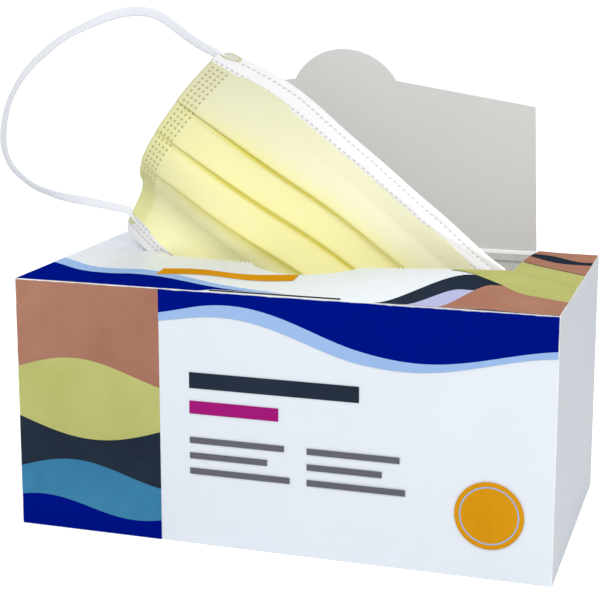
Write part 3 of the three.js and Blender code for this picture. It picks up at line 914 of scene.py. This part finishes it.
def level(value):
    """A curve at an even height."""
    return lambda x: np.full_like(x, value)


def wave(base, height, length, phase=0.0):
    """A curve with a slow sine wave about base."""
    return lambda x: base + height * np.sin(2 * np.pi * x / length + phase)


def climb(base, height, start, length):
    """A curve that starts at base and climbs smoothly by height over length from start."""
    return lambda x: base + height * smooth((x - start) / length)


def join_inks(name, parts, inks, away):
    """Joins areas of ink into one piece with a slot for each colour; each next area lies a little further
    away from the board."""
    order = list(INKS)
    points, faces, slots, count = [], [], [], 0
    for layer, (ink, (area_points, area_faces)) in enumerate(parts):
        points.append(area_points + np.asarray(away) * layer * INK_STEP)
        faces.append(area_faces + count)
        slots.append(np.full(len(area_faces), order.index(ink)))
        count += len(area_points)
    item = add_mesh(name, np.concatenate(points), np.concatenate(faces), shade=False,
                    slots=np.concatenate(slots))
    for material in inks:
        item.data.materials.append(material)
    belong(item)


def ribbon(x):
    """Lower edge of the front's navy area: a smooth fall to the right with a slow wave."""
    return climb(84.0, -9.0, -30.0, 60.0)(x) + 4.0 * np.sin((x + 30.0) / 17.0)


def ribbon_edge(x):
    """Lower edge of the light line under the ribbon."""
    return ribbon(x) - 3.5 - 1.5 * np.sin((x + 30.0) / 23.0)


def front_areas():
    """The front: stacked waves at the left, a ribbon along the top, plain bars, and a disc with a ring."""
    left, right, top = -CARTON_W / 2 + MARGIN, CARTON_W / 2 - MARGIN, level(CARTON_H - MARGIN)
    areas, upper = [], top
    for ink, *shape in FRONT_WAVES:
        lower = wave(*shape)
        areas.append((ink, ink_band(on_front, left, FRONT_SPLIT, lower, upper)))
        upper = lower
    areas.append(("navy", ink_band(on_front, left, FRONT_SPLIT, level(MARGIN), upper)))
    areas.append(("navy", ink_band(on_front, FRONT_SPLIT, right, ribbon, top)))
    areas.append(("light_blue", ink_band(on_front, FRONT_SPLIT, right, ribbon_edge, ribbon)))
    for x0, x1, z0, tall, ink in FRONT_BARS:
        areas.append((ink, ink_band(on_front, x0, x1, level(z0), level(z0 + tall), columns=6, rows=2)))
    areas.append(("gold", ink_disc(on_front, DISC_X, DISC_Z, DISC_R)))
    areas.append(("light_blue", ink_disc(on_front, DISC_X, DISC_Z, RING_R, RING_INNER)))
    return areas


def behind_slit(x):
    """The fold, and from the slit's left end on the line behind the slit."""
    return climb(TOP_FOLD, 2.4, -26.0, 3.0)(x)


def taper(x):
    """Rear edge of the top's navy area, which narrows to the right, with a slow ripple."""
    narrowing = 26.0 * np.clip((15.0 - x) / 110.0, 0, 1) ** 1.5
    return TOP_FOLD + narrowing * (1 + 0.16 * np.sin(x / 9.0))


def taper_front(x):
    return np.minimum(behind_slit(x), taper(x))


def haze_front(x):
    return np.maximum(behind_slit(x), taper(x))


def haze(x):
    """Rear edge of the light area behind the navy one."""
    return np.maximum(taper(x) + 9.0 * np.clip((22.0 - x) / 117.0, 0, 1), behind_slit(x))


def beside_lip(x):
    """A line that keeps clear of the lip's torn end."""
    return LIP_EDGE - BESIDE - 1.6 * np.clip((72.0 - x) / 10.0, 0, 2)


def top_areas():
    """The top: a taper with a light edge at the left, a wave before the lip, broad areas at the right."""
    left, right, side = -CARTON_W / 2 + MARGIN, CARTON_W / 2 - MARGIN, OPENING_W / 2 + BESIDE
    fold, rear = level(TOP_FOLD), level(CARTON_D / 2 - REAR)
    rows = [
        ("navy", left, 15.0, taper_front, taper),
        ("light_blue", left, 22.0, haze_front, haze),
        ("gold", -48.0, 2.0, wave(-35.5, 1.6, 44), wave(-29.0, 1.6, 44, 0.6), 48, 8),
        ("slate", 34.0, right, fold, climb(TOP_FOLD, 34.0, 34.0, 26.0)),
        ("lilac", 44.0, right, fold, climb(TOP_FOLD, 17.0, 44.0, 16.0)),
        ("tan", 55.0, right, fold, climb(TOP_FOLD, 23.0, 55.0, 14.0)),
        ("olive", 52.0, right, climb(-12.0, -20.0, 52.0, 30.0), beside_lip, 30, 8),
        ("olive", side, right, level(LIP_EDGE - BESIDE), level(11.0), 10, 10),
        ("tan", side, right, level(12.0), rear, 10, 16),
        ("slate", side, right, wave(27.0, 3.0, 30), wave(36.0, 3.0, 24), 10, 8)]
    return [(ink, ink_band(on_top, *shape)) for ink, *shape in rows]


inks = [printing_ink("ink_" + name, *tones) for name, tones in INKS.items()]
join_inks("front_print", front_areas(), inks, (0, -1, 0))
join_inks("top_print", top_areas(), inks, (0, 0, 1))


# Torn edges of the board

# The teeth of the torn lip: from x, to x, pitch; half width at the root and at the tip, reach
TEETH_FROM, TEETH_TO, TOOTH_PITCH = -60.0, 70.5, 1.6
TOOTH_ROOT, TOOTH_TIP, TOOTH_REACH = 0.42, 0.22, 0.55
# The scrap at the opening's front left corner: its corner and its torn edge
SCRAP_CORNER = (-72.7, -8.2)
TORN_EDGE = np.array([
    (-72.7, 8.5), (-69.6, 5.0), (-64.5, 2.0), (-60.0, -1.5), (-56.5, -5.5), (-53.0, -10.6)])


def lip_depth(x):
    """Depth of the lip from the rear fold: straight from its ends to the notch, then the notch's arc."""
    across = np.abs(x)
    radius = ((NOTCH_W / 2) ** 2 + NOTCH_DEPTH ** 2) / (2 * NOTCH_DEPTH)
    centre = LIP_MIDDLE_DEPTH + NOTCH_DEPTH - radius
    slope = (LIP_MIDDLE_DEPTH - LIP_END_DEPTH) / (OPENING_W / 2 - NOTCH_W / 2)
    straight = LIP_MIDDLE_DEPTH - slope * (across - NOTCH_W / 2)
    arc = centre + np.sqrt(np.clip(radius ** 2 - across ** 2, 0, None))
    return np.where(across < NOTCH_W / 2, arc, straight)


def make_teeth():
    """The nibs that the perforation leaves along the torn lip: one small wedge every TOOTH_PITCH, each
    joined to the lip by its wide end and bent up a little."""
    x = np.arange(TEETH_FROM, TEETH_TO, TOOTH_PITCH)
    x = x[np.abs(x) > NOTCH_W / 2]
    y = CARTON_D / 2 - lip_depth(x)
    corner_x = np.array([-TOOTH_ROOT, TOOTH_ROOT, TOOTH_TIP, -TOOTH_TIP] * 2)
    corner_y = np.array([-0.3, -0.3, TOOTH_REACH, TOOTH_REACH] * 2)
    corner_z = np.array([-0.65, -0.65, -0.4, -0.4, -0.1, -0.1, 0.18, 0.18])
    px = x[:, None] + corner_x
    py = y[:, None] + corner_y
    pz = CARTON_H + bow_height(px, py) + corner_z
    wedge = np.array([[0, 3, 2, 1], [4, 5, 6, 7], [0, 1, 5, 4], [1, 2, 6, 5], [2, 3, 7, 6], [3, 0, 4, 7]])
    faces = (wedge[None] + 8 * np.arange(len(x))[:, None, None]).reshape(-1, 4)
    teeth = add_mesh("lip_teeth", np.stack([px, py, pz], axis=-1).reshape(-1, 3), faces, shade=False)
    dress(teeth, torn_board())
    belong(teeth)


def make_torn_corner():
    """The scrap of top panel that stays at the opening's front left corner: a fan of thin board from the
    corner to its torn edge, let into the panel."""
    along = np.linspace(0, len(TORN_EDGE) - 1, 31)
    rough = 0.18 * np.sin(along * 9.0) + 0.12 * np.sin(along * 23.0)
    edge = np.stack([np.interp(along, np.arange(len(TORN_EDGE)), TORN_EDGE[:, i]) for i in (0, 1)], axis=1)
    edge[1:-1] += rough[1:-1, None] * 0.7
    share = np.linspace(0, 1, 9)[:, None, None]
    flat = np.array(SCRAP_CORNER) * (1 - share) + edge[None] * share
    height = CARTON_H + bow_height(flat[..., 0], flat[..., 1])
    top = np.concatenate([flat, height[..., None]], axis=-1)
    scrap = add_mesh("torn_corner", top.reshape(-1, 3), grid_faces(9, len(edge)), shade=False)
    solidify(scrap, BOARD - 0.1, -1.0)
    dress(scrap, coated_board())
    belong(scrap)


make_teeth()
make_torn_corner()


# Floor and light

# Half the floor's width and its height, in millimetres
FLOOR_HALF, FLOOR_Z = 60000.0, -0.02
# What the sky gives as a lamp, and what it gives more where the camera sees it
SKY_LAMP, SKY_SEEN = 0.62, 0.42
# Lamps: name, place and diameter (metres), power (watts), whether they cast shadows
LAMPS = [("key", (0.25, -1.05, 1.0), 0.9, 9.5, True), ("front_fill", (0.25, -1.3, 0.45), 0.8, 1.0, False),
         ("back", (0.1, 0.9, 1.1), 0.7, 4.0, True)]
LAMPS_AIM = Vector((0.0, 0.0, 0.09))


def make_floor():
    """A wide pale floor under the carton."""
    line = np.linspace(-FLOOR_HALF, FLOOR_HALF, 3)
    x, y = np.meshgrid(line, line)
    points = np.stack([x, y, np.full_like(x, FLOOR_Z)], axis=-1)
    floor = add_mesh("floor", points.reshape(-1, 3), grid_faces(3, 3))
    dress(floor, studio_floor())


def add_lamp(name, place, size, power, shadow):
    data = bpy.data.lights.new(name, "AREA")
    data.shape = "DISK"
    data.size = size
    data.energy = power
    data.use_shadow = shadow
    lamp = bpy.data.objects.new(name, data)
    lamp.location = place
    lamp.rotation_euler = (LAMPS_AIM - Vector(place)).to_track_quat("-Z", "Y").to_euler()
    bpy.context.scene.collection.objects.link(lamp)


def make_light():
    """A white sky, dimmer as a lamp than it looks, a soft key from the front left, a fill without shadow and
    a lamp from the back."""
    world = bpy.data.worlds.new("studio")
    world.use_nodes = True
    tree = world.node_tree
    seen = add_node(tree, "LightPath").outputs["Is Camera Ray"]
    background = tree.nodes["Background"]
    background.inputs["Color"].default_value = (1.0, 1.0, 1.0, 1.0)
    tree.links.new(maths(tree, "MULTIPLY_ADD", seen, SKY_SEEN, SKY_LAMP), background.inputs["Strength"])
    bpy.context.scene.world = world
    for lamp in LAMPS:
        add_lamp(*lamp)


make_floor()
make_light()
bpy.context.scene.view_settings.view_transform = "Standard"
